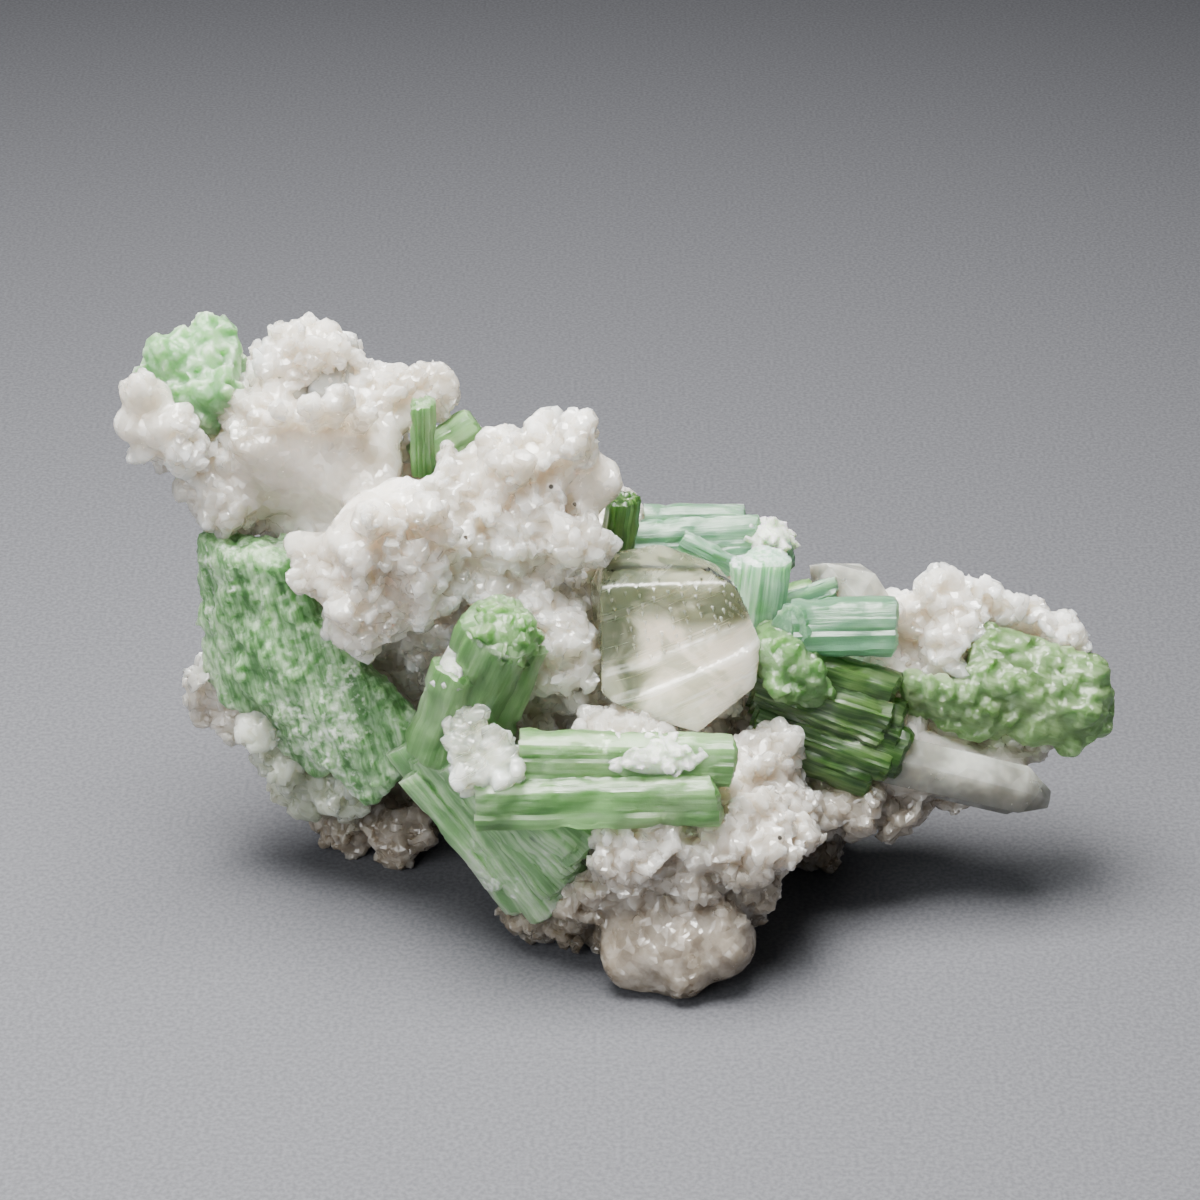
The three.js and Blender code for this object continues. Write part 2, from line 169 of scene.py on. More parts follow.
def broken_faces(tree, sizes, tilt, coordinates):
    """Normals that lean another way in each small cell, as on a crust of tiny crystal faces."""
    normal = add(tree, "ShaderNodeNewGeometry").outputs["Normal"]
    for size in sizes:
        cells = add(
            tree, "ShaderNodeTexVoronoi", {"Scale": per_mm(size), "Randomness": 1.0}, Vector=coordinates
        )
        centred = add(
            tree,
            "ShaderNodeVectorMath",
            {"operation": "SUBTRACT", 1: (0.5, 0.5, 0.5)},
            _0=cells.outputs["Color"],
        ).outputs[0]
        lean = add(tree, "ShaderNodeVectorMath", {"operation": "SCALE", "Scale": tilt}, _0=centred).outputs[0]
        normal = add(tree, "ShaderNodeVectorMath", {"operation": "ADD"}, _0=normal, _1=lean).outputs[0]
    return add(tree, "ShaderNodeVectorMath", {"operation": "NORMALIZE"}, _0=normal).outputs[0]


# Materials.


def milky_quartz(name, whites, clearness, sizes, dust_and_painted_shade, specks=0):
    """Milky quartz: white from tiny bubbles, so light sinks in and spreads, and its small faces glitter.

    `clearness` is how much light goes through, `sizes` how wide its small faces are in millimetres, and
    `dust_and_painted_shade` how much its foot is greyed, partly dusted and partly by painted shade."""
    material, tree, shader = new_material(name)
    place = add(tree, "ShaderNodeTexCoord").outputs["Object"]
    cloud = add(
        tree, "ShaderNodeTexNoise", {"Scale": per_mm(9), "Detail": 4.0, "Roughness": 0.6}, Vector=place
    ).outputs["Fac"]
    grain = add(
        tree, "ShaderNodeTexNoise", {"Scale": per_mm(1.6), "Detail": 5.0}, Vector=place
    ).outputs["Fac"]
    white = ramp(tree, cloud, list(zip((0.30, 0.48, 0.66), whites)))
    # the creases are tinted tan, in cloudy patches
    hollow = fade(tree, add(tree, "ShaderNodeNewGeometry").outputs["Pointiness"], 0.44, 0.50, 1.0, 0.0)
    crease_tan_share = fade(tree, cloud, 0.44, 0.70, 0.05, 0.6)
    crease_tan = add(tree, "ShaderNodeMath", {"operation": "MULTIPLY"}, _0=hollow, _1=crease_tan_share).outputs[0]
    tinted = mixed(tree, crease_tan, white, "#CBBDA4")
    # the foot of the cluster is greyer and darker: partly dusted, partly painted shade, as it lies in the
    # shade of the shelf above
    height = add(tree, "ShaderNodeSeparateXYZ", Vector=place).outputs["Z"]
    low = add(
        tree, "ShaderNodeMath", {"operation": "MULTIPLY"},
        _0=fade(tree, height, 2 * MM, 24 * MM, dust_and_painted_shade, 0.0), _1=fade(tree, grain, 0.30, 0.62, 0.7, 1.0),
    ).outputs[0]
    dusty_and_shaded = mixed(tree, low, tinted, "#7F7362")
    # green needles too fine to see tint the left flank
    flank = add(
        tree, "ShaderNodeVectorMath", {"operation": "DISTANCE", 1: spot((-29, -6, 12))}, _0=place
    ).outputs["Value"]
    marked = mixed(tree, fade(tree, flank, 6 * MM, 12 * MM, 0.5, 0.0), dusty_and_shaded, "#CCDFC2")
    # tiny dark specks; they are put on the surface once it has its shape
    for number in range(specks):
        away = add(
            tree, "ShaderNodeVectorMath", {"operation": "DISTANCE", "name": f"speck_{number}"}, _0=place
        )
        spotted = fade(tree, away.outputs["Value"], 0.16 * MM, 0.28 * MM, 0.9, 0.0)
        marked = mixed(tree, spotted, marked, "#2A2520")
    tree.links.new(marked, shader.inputs["Base Color"])
    tree.links.new(fade(tree, grain, 0.30, 0.70, 0.07, 0.28), shader.inputs["Roughness"])
    through = fade(tree, cloud, 0.35, 0.65, clearness, clearness * 0.4)
    tree.links.new(through, shader.inputs["Transmission Weight"])
    facets = broken_faces(tree, sizes, 0.55, place)
    bump = add(tree, "ShaderNodeBump", {"Strength": 0.3, "Distance": 0.2 * MM}, Height=grain, Normal=facets)
    tree.links.new(bump.outputs[0], shader.inputs["Normal"])
    set_shader(
        shader,
        IOR=QUARTZ_IOR,
        Subsurface_Weight=1.0,
        Subsurface_Radius=(1.0, 0.9, 0.8),
        Subsurface_Scale=4.5 * MM,
    )
    return material


def clear_quartz(name, veiled, open_colour, clear_zone, along):
    """Clear quartz: glassy, with growth lines on its faces and white veils of healed cracks inside."""
    material, tree, shader = new_material(name)
    place = add(tree, "ShaderNodeTexCoord").outputs["Object"]
    veils = add(
        tree, "ShaderNodeTexNoise", {"Scale": per_mm(5), "Detail": 6.0, "Distortion": 0.8}, Vector=place
    ).outputs["Fac"]
    across = add(
        tree, "ShaderNodeMapping",
        {
            "vector_type": "TEXTURE",
            "Rotation": Vector(along).to_track_quat("X", "Z").to_euler(),
            "Scale": (12 * MM, 3 * MM, 0.45 * MM),
        },
        Vector=place,
    ).outputs[0]
    lines = add(
        tree, "ShaderNodeTexNoise", {"Scale": 1.0, "Detail": 4.0, "Roughness": 0.55}, Vector=across
    ).outputs["Fac"]
    zone = clear_zone(tree, place)
    veiling = fade(tree, veils, 0.40, 0.62, -0.3, 0.35)
    patchy = add(tree, "ShaderNodeMath", {"operation": "ADD"}, _0=zone, _1=veiling).outputs[0]
    clear = add(tree, "ShaderNodeClamp", Value=patchy).outputs[0]
    # painted highlight: a bright silky line here and there, painted near-white where a growth line would
    # catch the light
    silk = fade(tree, lines, 0.60, 0.70, 0.0, 0.7)
    tinted = mixed(tree, clear, veiled, open_colour)
    tree.links.new(mixed(tree, silk, tinted, "#FBF6EE"), shader.inputs["Base Color"])
    tree.links.new(fade(tree, clear, 0.0, 1.0, 0.12, 0.82), shader.inputs["Transmission Weight"])
    tree.links.new(fade(tree, lines, 0.40, 0.62, 0.08, 0.30), shader.inputs["Roughness"])
    bump = add(tree, "ShaderNodeBump", {"Strength": 0.35, "Distance": 0.2 * MM}, Height=lines)
    tree.links.new(bump.outputs[0], shader.inputs["Normal"])
    set_shader(
        shader,
        IOR=QUARTZ_IOR,
        Subsurface_Weight=1.0,
        Subsurface_Radius=(1.0, 0.9, 0.8),
        Subsurface_Scale=5 * MM,
    )
    return material


def dome_and_left(tree, place):
    """The stubby crystal is clear in its top and its left, and full of veils in its lower right face."""
    place_xyz = add(tree, "ShaderNodeSeparateXYZ", Vector=place).outputs
    upper = fade(tree, place_xyz["Z"], 29 * MM, 31.5 * MM)
    left = fade(tree, place_xyz["X"], -0.5 * MM, 3 * MM, 0.8, 0.0)
    return add(tree, "ShaderNodeMath", {"operation": "MAXIMUM"}, _0=upper, _1=left).outputs[0]


def half_clear(tree, place):
    """The plates are clearer towards their tops."""
    height = add(tree, "ShaderNodeSeparateXYZ", Vector=place).outputs["Z"]
    return fade(tree, height, 18 * MM, 28 * MM, 0.3, 0.6)


def tourmaline(name, deep, body, pale, frost, clearness, silk=0.1, along=None, tips=0.0, glow=4.0):
    """Green elbaite tourmaline: glassy prisms, ribbed along their length, with soft streaks of lighter green.

    `frost` is how much of it is frosted white, `silk` how strong its streaks are. They follow the growth map
    or, under a crust, the one direction `along`. `tips` whitens the tips of a crust, and `glow` is how deep
    light sinks in, in millimetres."""
    material, tree, shader = new_material(name)
    place = add(tree, "ShaderNodeTexCoord").outputs["Object"]
    if along:
        turn = Vector(along).to_track_quat("Y", "Z").to_euler()
        settings = {"vector_type": "TEXTURE", "Rotation": turn}
        narrow = {**settings, "Scale": (0.5 * MM, 12 * MM, 0.5 * MM)}
        wide = {**settings, "Scale": (2 * MM, 11 * MM, 2 * MM)}
        fine = add(tree, "ShaderNodeMapping", narrow, Vector=place).outputs[0]
        broad = add(tree, "ShaderNodeMapping", wide, Vector=place).outputs[0]
    else:
        # the growth map is in millimetres: across the ribs, then along them
        growth = add(tree, "ShaderNodeUVMap", {"uv_map": "growth"}).outputs[0]
        fine = add(tree, "ShaderNodeMapping", {"Scale": (2.2, 0.08, 1)}, Vector=growth).outputs[0]
        broad = add(tree, "ShaderNodeMapping", {"Scale": (0.5, 0.09, 1)}, Vector=growth).outputs[0]
    ribs = add(
        tree, "ShaderNodeTexNoise", {"Scale": 1.0, "Detail": 4.0, "Roughness": 0.6}, Vector=fine
    ).outputs["Fac"]
    bands = add(tree, "ShaderNodeTexNoise", {"Scale": 1.0, "Detail": 2.0}, Vector=broad).outputs["Fac"]
    clouds = add(
        tree, "ShaderNodeTexNoise", {"Scale": per_mm(6), "Detail": 5.0, "Roughness": 0.6}, Vector=place
    ).outputs["Fac"]
    flecks = add(
        tree, "ShaderNodeTexNoise", {"Scale": per_mm(0.7), "Detail": 5.0, "Roughness": 0.7}, Vector=place
    ).outputs["Fac"]
    ribbing = fade(tree, ribs, 0.2, 0.8, -silk, silk)
    streaks = add(tree, "ShaderNodeMath", {"operation": "ADD"}, _0=bands, _1=ribbing).outputs[0]
    clouding = fade(tree, clouds, 0.3, 0.7, -0.12, 0.12)
    zoned = add(tree, "ShaderNodeMath", {"operation": "ADD"}, _0=streaks, _1=clouding).outputs[0]
    green = ramp(tree, zoned, [(0.28, deep), (0.50, body), (0.72, pale)])
    flecking = fade(tree, flecks, 0.3, 0.7, -0.06 - 0.32 * frost, 0.06 + 0.32 * frost)
    speckled = add(tree, "ShaderNodeMath", {"operation": "ADD"}, _0=clouds, _1=flecking).outputs[0]
    frosted = fade(tree, speckled, 0.70 - 0.30 * frost, 0.86 - 0.24 * frost, 0.0, 0.8)
    tinted = mixed(tree, frosted, green, "#D3DFCE")
    if tips:
        proud = fade(tree, add(tree, "ShaderNodeNewGeometry").outputs["Pointiness"], 0.51, 0.60, 0.0, tips)
        tinted = mixed(tree, proud, tinted, "#EEF3E9")
    tree.links.new(tinted, shader.inputs["Base Color"])
    tree.links.new(fade(tree, frosted, 0.0, 0.8, clearness, 0.08), shader.inputs["Transmission Weight"])
    tree.links.new(fade(tree, speckled, 0.35, 0.70, 0.28, 0.42 + 0.20 * frost), shader.inputs["Roughness"])
    # a crust has small faces; a prism has none but its ribs
    faces = broken_faces(tree, (1.1, 0.5) if along else (), 0.5, place)
    frosting = {"Strength": 0.25 + 0.4 * frost, "Distance": 0.25 * MM}
    frosted_skin = add(tree, "ShaderNodeBump", frosting, Height=speckled, Normal=faces).outputs[0]
    rib_relief = {"Strength": 0.6, "Distance": 0.2 * MM}
    bump = add(tree, "ShaderNodeBump", rib_relief, Height=ribs, Normal=frosted_skin)
    tree.links.new(bump.outputs[0], shader.inputs["Normal"])
    set_shader(
        shader,
        IOR=TOURMALINE_IOR,
        Specular_IOR_Level=0.3,
        Subsurface_Weight=1.0,
        Subsurface_Radius=(0.75, 1.0, 0.6),
        Subsurface_Scale=glow * MM,
    )
    return material


milky = milky_quartz("milky_quartz", ("#D9D0C1", "#E4DDD2", "#EFEBE4"), 0.42, (1.8, 0.8), 0.95, 4)
# the points' whites are greyer than the mass's: partly the grey of clearer quartz, partly painted shade, as
# the pale bar lies in the shadow of the arm
glassy_with_painted_shade = milky_quartz("glassy_quartz_points", ("#B9BCB4", "#C6C9C1", "#D4D6CE"), 0.8, (2.5,), 0.15)
clear = clear_quartz("clear_quartz_with_veils", "#ECE2D2", "#A3AF90", dome_and_left, (1, 0, 0.36))
plates = clear_quartz("clear_quartz_plates", "#EEF2E4", "#E3E9D3", half_clear, (1, 0, 0.6))
green = tourmaline("green_tourmaline", "#5F8F50", "#82B070", "#A8CE98", 0.15, 0.62, 0.16, glow=2.5)
wall_green = tourmaline(
    "frosted_wall_tourmaline", "#5F8E56", "#88B47E", "#AED0A4", 0.42, 0.35, 0.34, (0.25, -0.2, -1)
)
# painted light: the fan's greens are made lighter, as the fan lies in poor light low at the front
fan_green_with_painted_light = tourmaline("fibrous_green_tourmaline", "#7FAE74", "#A8D09B", "#CBE5C1", 0.35, 0.45, 0.26)
arm_green = tourmaline(
    "crusted_arm_tourmaline", "#688D50", "#86A970", "#A6C592", 0.06, 0.58, 0.16, (1, 0, -0.3), glow=3.0
)
mint = tourmaline("mint_tourmaline", "#6FA481", "#78AC89", "#9CC9A7", 0.10, 0.65, 0.34, glow=2.5)
# painted light: a lighter copy of the mint for the upright, which lies in the shade of the knob and the back
# prisms
mint_with_painted_light = tourmaline("pale_mint_tourmaline", "#8CC09C", "#B2DDBE", "#DAF2E1", 0.12, 0.35, 0.34, glow=4.0)
deep_green = tourmaline("deep_green_tourmaline", "#1E480C", "#3F6D27", "#709A4C", 0.0, 0.70, 0.24, glow=2.5)
knot_green = tourmaline(
    "mint_knot_tourmaline", "#64944F", "#80AD6C", "#9FC48C", 0.12, 0.60, 0.05, (0, 1, 0), glow=3.0
)
spray_green = tourmaline(
    "mint_spray_tourmaline", "#6FA86C", "#8FC08A", "#B4D9AE", 0.10, 0.40, 0.05, (-0.5, 0, 1), 0.3
)
# a druse of tourmaline grains so small that it is nearly white
pale_druse = tourmaline(
    "frosted_tourmaline_druse", "#C3D0BC", "#D6DFD1", "#E6ECE2", 0.4, 0.30, 0.05, (1, 0, 0), glow=1.5
)

# A plain matt table with a fine grain, a broad soft lamp overhead and a weak one from the front left.
bpy.ops.mesh.primitive_plane_add(size=TABLE_SIZE)
table = bpy.context.object
table.name = "table"
table_material, table_tree, table_shader = new_material("matt_grey_card")
table_place = add(table_tree, "ShaderNodeTexCoord").outputs["Object"]
table_grain = add(table_tree, "ShaderNodeTexNoise", {"Scale": per_mm(0.4), "Detail": 2.0}, Vector=table_place)
table_grey = ramp(table_tree, table_grain.outputs["Fac"], [(0.35, "#434449"), (0.65, "#525358")])
table_tree.links.new(table_grey, table_shader.inputs["Base Color"])
set_shader(table_shader, Roughness=0.8)
table.data.materials.append(table_material)

world = bpy.data.worlds.new("studio")
bpy.context.scene.world = world
world.use_nodes = True
world.node_tree.nodes["Background"].inputs["Color"].default_value = colour("#DCE0E6")
world.node_tree.nodes["Background"].inputs["Strength"].default_value = 0.20


def soft_light(name, place, target, size, power, tint):
    """A square lamp that points at a place."""
    lamp = bpy.data.objects.new(name, bpy.data.lights.new(name, "AREA"))
    lamp.data.size = size
    lamp.data.energy = power
    lamp.data.spread = LAMP_SPREAD
    lamp.data.color = colour(tint)[:3]
    lamp.location = place
    lamp.rotation_euler = (Vector(target) - Vector(place)).to_track_quat("-Z", "Y").to_euler()
    bpy.context.scene.collection.objects.link(lamp)


soft_light("overhead_softbox", (-0.07, -0.01, 0.39), (-0.055, -0.10, 0), 0.26, 4.4, "#FFFDF9")
soft_light("front_left_softbox", (-0.26, -0.30, 0.24), (-0.01, 0, 0.03), 0.30, 0.75, "#FFFFFF")

# Shapes.


def only(piece):
    """Makes one piece the selected and active one."""
    bpy.ops.object.select_all(action="DESELECT")
    piece.select_set(True)
    bpy.context.view_layer.objects.active = piece


def apply(piece, kind, **settings):
    """Adds a modifier and applies it."""
    only(piece)
    modifier = piece.modifiers.new(kind.lower(), kind)
    for name, value in settings.items():
        setattr(modifier, name, value)
    bpy.ops.object.modifier_apply(modifier=modifier.name)
    return piece


def remesh(piece, voxel):
    """Makes a piece one closed skin, from cubes of the given size in millimetres."""
    apply(piece, "REMESH", mode="VOXEL", voxel_size=voxel * MM, adaptivity=0.0)


def select_top(piece):
    """Selects the faces that look up, in edit mode."""
    bpy.ops.mesh.select_mode(type="FACE")
    mesh = bmesh.from_edit_mesh(piece.data)
    for face in mesh.faces:
        face.select = face.normal.z > 0.9
    bmesh.update_edit_mesh(piece.data)


def relief_texture(name, kind, size, **settings):
    """A texture for relief, with spots of the given size in millimetres."""
    texture = bpy.data.textures.new(name, kind)
    texture.noise_scale = size * MM
    for field, value in settings.items():
        setattr(texture, field, value)
    return texture


worn = relief_texture("worn", "CLOUDS", 2.2, noise_depth=3)


def copy_of(node, name):
    """A loose copy of a solid of the frame, with its corners merged."""
    piece = bpy.data.objects.new(name, frame["nodes"][node].data.copy())
    bpy.context.scene.collection.objects.link(piece)
    piece.data.materials.clear()
    only(piece)
    bpy.ops.object.mode_set(mode="EDIT")
    bpy.ops.mesh.select_all(action="SELECT")
    bpy.ops.mesh.remove_doubles(threshold=0.01 * MM)
    bpy.ops.object.mode_set(mode="OBJECT")
    return piece


def stand_on_table(piece):
    """Nothing reaches lower than the table."""
    for vertex in piece.data.vertices:
        vertex.co.z = max(vertex.co.z, 0.0)
    return piece


def finish_piece(piece, material, angle=30, replaces=()):
    """Shades a piece, gives it its material, and ties it to the frame."""
    only(piece)
    bpy.ops.object.shade_smooth_by_angle(angle=math.radians(angle))
    piece.data.materials.clear()
    piece.data.materials.append(material)
    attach(piece, "root")
    if replaces:
        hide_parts(*replaces)
    return piece


def crystal_faces(piece, size, slope, reach, seed, calm):
    """Cuts a surface into crystal ends: each cell is one to four flat faces that meet in an edge or a tip."""
    chance = random.Random(seed)
    vertices = piece.data.vertices
    places = [vertex.co.copy() for vertex in vertices]
    normals = [vertex.normal.copy() for vertex in vertices]
    order = list(range(len(places)))
    chance.shuffle(order)
    cells = {}
    for i in order:
        cells.setdefault(tuple(int(c // (size * MM)) for c in places[i]), i)
    tree = kdtree.KDTree(len(cells))
    ends = []
    for number, i in enumerate(cells.values()):
        lean = Vector((chance.gauss(0, 1), chance.gauss(0, 1), chance.gauss(0, 1))) * 0.28
        axis = (normals[i] + lean).normalized()
        side = axis.orthogonal()
        side.rotate(Quaternion(axis, chance.uniform(0, 2 * math.pi)))
        faces = chance.choice((1, 2, 3, 3, 4))
        planes = []
        for face in range(faces):
            out = side.copy()
            out.rotate(Quaternion(axis, 2 * math.pi * face / faces + chance.uniform(-0.2, 0.2)))
            tilt = chance.uniform(0.35, 1) * slope if faces > 1 else chance.uniform(0, 0.4) * slope
            planes.append(axis * math.cos(tilt) + out * math.sin(tilt))
        ends.append((places[i] + normals[i] * chance.uniform(0, reach) * MM, planes))
        tree.insert(places[i], number)
    tree.balance()
    for vertex, place, normal in zip(vertices, places, normals):
        apex, planes = ends[tree.find(place)[1]]
        rise = min((apex - place).dot(plane) / max(normal.dot(plane), 0.3) for plane in planes)
        rise = min(max(rise, -1.2 * reach * MM), reach * MM)
        vertex.co = place + normal * rise * calm(place / MM)


# Crusts of small crystals.


def grain(name, kind, chance):
    """A small crystal about a millimetre across, with its foot below the origin."""
    if kind == "point":
        bpy.ops.mesh.primitive_cone_add(
            vertices=6, radius1=0.42, radius2=0.38, depth=0.7, location=(0, 0, -0.1)
        )
        bpy.ops.object.mode_set(mode="EDIT")
        select_top(bpy.context.object)
        bpy.ops.mesh.extrude_region_move(TRANSFORM_OT_translate={"value": (0, 0, 0.32)})
        bpy.ops.transform.resize(value=(0.12, 0.12, 1))
        bpy.ops.object.mode_set(mode="OBJECT")
    elif kind == "plate":
        bpy.ops.mesh.primitive_cone_add(
            vertices=8,
            radius1=0.56,
            radius2=0.44,
            depth=0.26,
            rotation=(math.radians(80), 0, 0),
            location=(0, 0, -0.08),
        )
    elif kind == "block":
        bpy.ops.mesh.primitive_cube_add(size=0.85, rotation=(0.5, 0.4, 0.2), location=(0, 0, -0.08))
        bpy.ops.object.mode_set(mode="EDIT")
        bpy.ops.mesh.bevel(offset=0.2, affect="VERTICES")
        bpy.ops.object.mode_set(mode="OBJECT")
    else:
        bpy.ops.mesh.primitive_ico_sphere_add(subdivisions=1, radius=0.5, location=(0, 0, -0.08))
    model = bpy.context.object
    model.name = name
    bpy.ops.object.transform_apply(location=True, rotation=True, scale=True)
    for vertex in model.data.vertices:
        vertex.co += Vector((chance.uniform(-1, 1), chance.uniform(-1, 1), chance.uniform(-1, 1))) * 0.06
    return model


def grain_box(name, kinds):
    """A collection of loose grains for a crust to pick from."""
    chance = random.Random(name)
    box = bpy.data.collections.new(name)
    for i, kind in enumerate(kinds):
        model = grain(f"{name}_{kind}_{i}", kind, chance)
        model.users_collection[0].objects.unlink(model)
        box.objects.link(model)
    return box


def crust(name, body, box, spacing, sizes, lean, seed, material, thickness):
    """Small crystals strewn over a body, feet sunk in. `thickness` is how thick they sit at a place."""
    piece = bpy.data.objects.new(name, body.data.copy())
    bpy.context.scene.collection.objects.link(piece)
    dense = piece.data.attributes.new("dense", "FLOAT", "POINT")
    for vertex, value in zip(piece.data.vertices, dense.data):
        value.value = thickness(vertex.co / MM, vertex.normal)
    tree = bpy.data.node_groups.new(name, "GeometryNodeTree")
    tree.interface.new_socket("Geometry", in_out="INPUT", socket_type="NodeSocketGeometry")
    tree.interface.new_socket("Geometry", in_out="OUTPUT", socket_type="NodeSocketGeometry")
    start = add(tree, "NodeGroupInput")
    density = add(tree, "GeometryNodeInputNamedAttribute", {"Name": "dense"})
    spots = add(
        tree,
        "GeometryNodeDistributePointsOnFaces",
        {
            "distribute_method": "POISSON",
            "Distance Min": spacing * MM,
            "Density Max": 1.4 / (spacing * MM) ** 2,
            "Seed": seed,
        },
        Mesh=start.outputs[0],
        Density_Factor=density.outputs[0],
    )
    grains = add(
        tree,
        "GeometryNodeCollectionInfo",
        {"Collection": box, "Separate Children": True, "Reset Children": True},
    )
    turn = add(
        tree,
        "FunctionNodeRandomValue",
        {
            "data_type": "FLOAT_VECTOR",
            0: (-lean, -lean, -math.pi),
            1: (lean, lean, math.pi),
            "Seed": seed + 1,
        },
    )
    turn_by = add(tree, "FunctionNodeEulerToRotation", Euler=turn.outputs[0])
    turned = add(
        tree, "FunctionNodeRotateRotation", {"rotation_space": "LOCAL"},
        Rotation=spots.outputs["Rotation"], Rotate_By=turn_by.outputs[0],
    )
    low, high = (s * MM for s in sizes)
    size = add(tree, "FunctionNodeRandomValue", {"data_type": "FLOAT", 2: low, 3: high, "Seed": seed + 2})
    stretch = add(
        tree, "FunctionNodeRandomValue",
        {"data_type": "FLOAT_VECTOR", 0: (0.7, 0.7, 0.7), 1: (1.3, 1.3, 1.2), "Seed": seed + 3},
    )
    scale = add(
        tree, "ShaderNodeVectorMath", {"operation": "SCALE"}, _0=stretch.outputs[0], Scale=size.outputs[1]
    )
    strewn = add(
        tree, "GeometryNodeInstanceOnPoints", {"Pick Instance": True},
        Points=spots.outputs["Points"], Instance=grains.outputs[0],
        Rotation=turned.outputs[0], Scale=scale.outputs[0],
    )
    real = add(tree, "GeometryNodeRealizeInstances", Geometry=strewn.outputs[0])
    add(tree, "NodeGroupOutput", _0=real.outputs[0])
    apply(piece, "NODES", node_group=tree)
    bpy.data.node_groups.remove(tree)
    stand_on_table(piece)
    return finish_piece(piece, material, 20)


def near(place, start, radius, edge=1.5, end=None):
    """1 inside a ball, or near the line to its end, falling to 0 over the edge. All in millimetres."""
    place, start = place + FRAME_START, Vector(start)
    if end:
        line = Vector(end) - start
        start += line * min(max((place - start).dot(line) / line.length_squared, 0), 1)
    return min(max(1 - ((place - start).length - radius) / edge, 0), 1)


def patches(place, size, share):
    """Irregular patches about a size across: 0 or 1 with a soft edge, over a share of the surface."""
    value = 0.5 + 0.9 * noise.fractal(place / size, 0.8, 2.0, 3)
    return min(max((value - (1 - share)) * 6 + 0.5, 0), 1)


def fuse(body, *others):
    """Joins loose crusts into a body's own mesh."""
    only(body)
    for other in others:
        other.select_set(True)
    bpy.ops.object.join()


coarse_grains = grain_box(
    "coarse_grains", ["point", "block", "plate", "block", "bead", "plate", "point", "block"]
)
fine_grains = grain_box("fine_grains", ["plate", "block", "point", "plate", "block"])


RIBS = 42  # ribs round a prism
RIB_DEPTH = 0.08 * MM
WORN_RIM = 0.22  # of the radius


def tourmaline_prism(start, end, radius, chance):
    """One prism: a rounded triangle in section, ribbed along its length, its end worn and a little uneven."""
    foot, tip, radius = spot(start), spot(end), radius * MM
    axis = tip - foot
    length = axis.length
    rim = WORN_RIM * radius
    bpy.ops.mesh.primitive_cylinder_add(vertices=RIBS, radius=radius, depth=length - 0.6 * rim)
    prism = bpy.context.object
    bpy.ops.object.mode_set(mode="EDIT")
    bpy.ops.mesh.select_mode(type="EDGE")
    mesh = bmesh.from_edit_mesh(prism.data)
    for edge in mesh.edges:
        edge.select = abs(edge.verts[0].co.z - edge.verts[1].co.z) > 0.4 * length
    mesh.select_flush_mode()
    bmesh.update_edit_mesh(prism.data)
    bpy.ops.mesh.subdivide(number_cuts=max(3, round(length / (0.7 * MM))))
    select_top(prism)
    bpy.ops.mesh.inset(thickness=rim, depth=0.6 * rim)
    for share in (0.25, 0.4, 0.5):
        bpy.ops.mesh.inset(thickness=share * (radius - rim) * 0.6)
    bpy.ops.object.mode_set(mode="OBJECT")

    rib = [chance.gauss(0, 1) * RIB_DEPTH for _ in range(RIBS)]
    turn = chance.uniform(0, 2)
    top = max(vertex.co.z for vertex in prism.data.vertices)
    slant = (chance.gauss(0, 0.12), chance.gauss(0, 0.12))
    for vertex in prism.data.vertices:
        x, y, z = vertex.co
        angle = math.atan2(y, x)
        reach = math.hypot(x, y)
        column = round(angle / (2 * math.pi) * RIBS) % RIBS
        if reach > 0.5 * radius:
            swollen = reach * (1 + 0.07 * math.cos(3 * angle + turn)) + rib[column]
            vertex.co.x, vertex.co.y = swollen * math.cos(angle), swollen * math.sin(angle)
        if z > top - 0.7 * rim:
            vertex.co.z += slant[0] * x + slant[1] * y + chance.gauss(0, 0.05 * MM)

    # the growth map: millimetres round the prism, and along it
    growth = prism.data.uv_layers[0]
    growth.name = "growth"
    offset = chance.uniform(0, 500)
    for face in prism.data.polygons:
        middle = math.atan2(face.center.y, face.center.x)
        flat_end = abs(face.normal.z) > 0.7
        for loop in face.loop_indices:
            x, y, z = prism.data.vertices[prism.data.loops[loop].vertex_index].co
            if flat_end:
                growth.data[loop].uv = (x / MM + offset, 20 * y / MM + offset)
                continue
            bend = (math.atan2(y, x) - middle + math.pi) % (2 * math.pi) - math.pi
            growth.data[loop].uv = ((middle + bend) * radius / MM + offset, z / MM + offset)

    prism.rotation_mode = "QUATERNION"
    prism.rotation_quaternion = axis.to_track_quat("Z", "Y")
    prism.location = (foot + tip) / 2
    only(prism)
    bpy.ops.object.transform_apply(location=True, rotation=True, scale=True)
    return prism


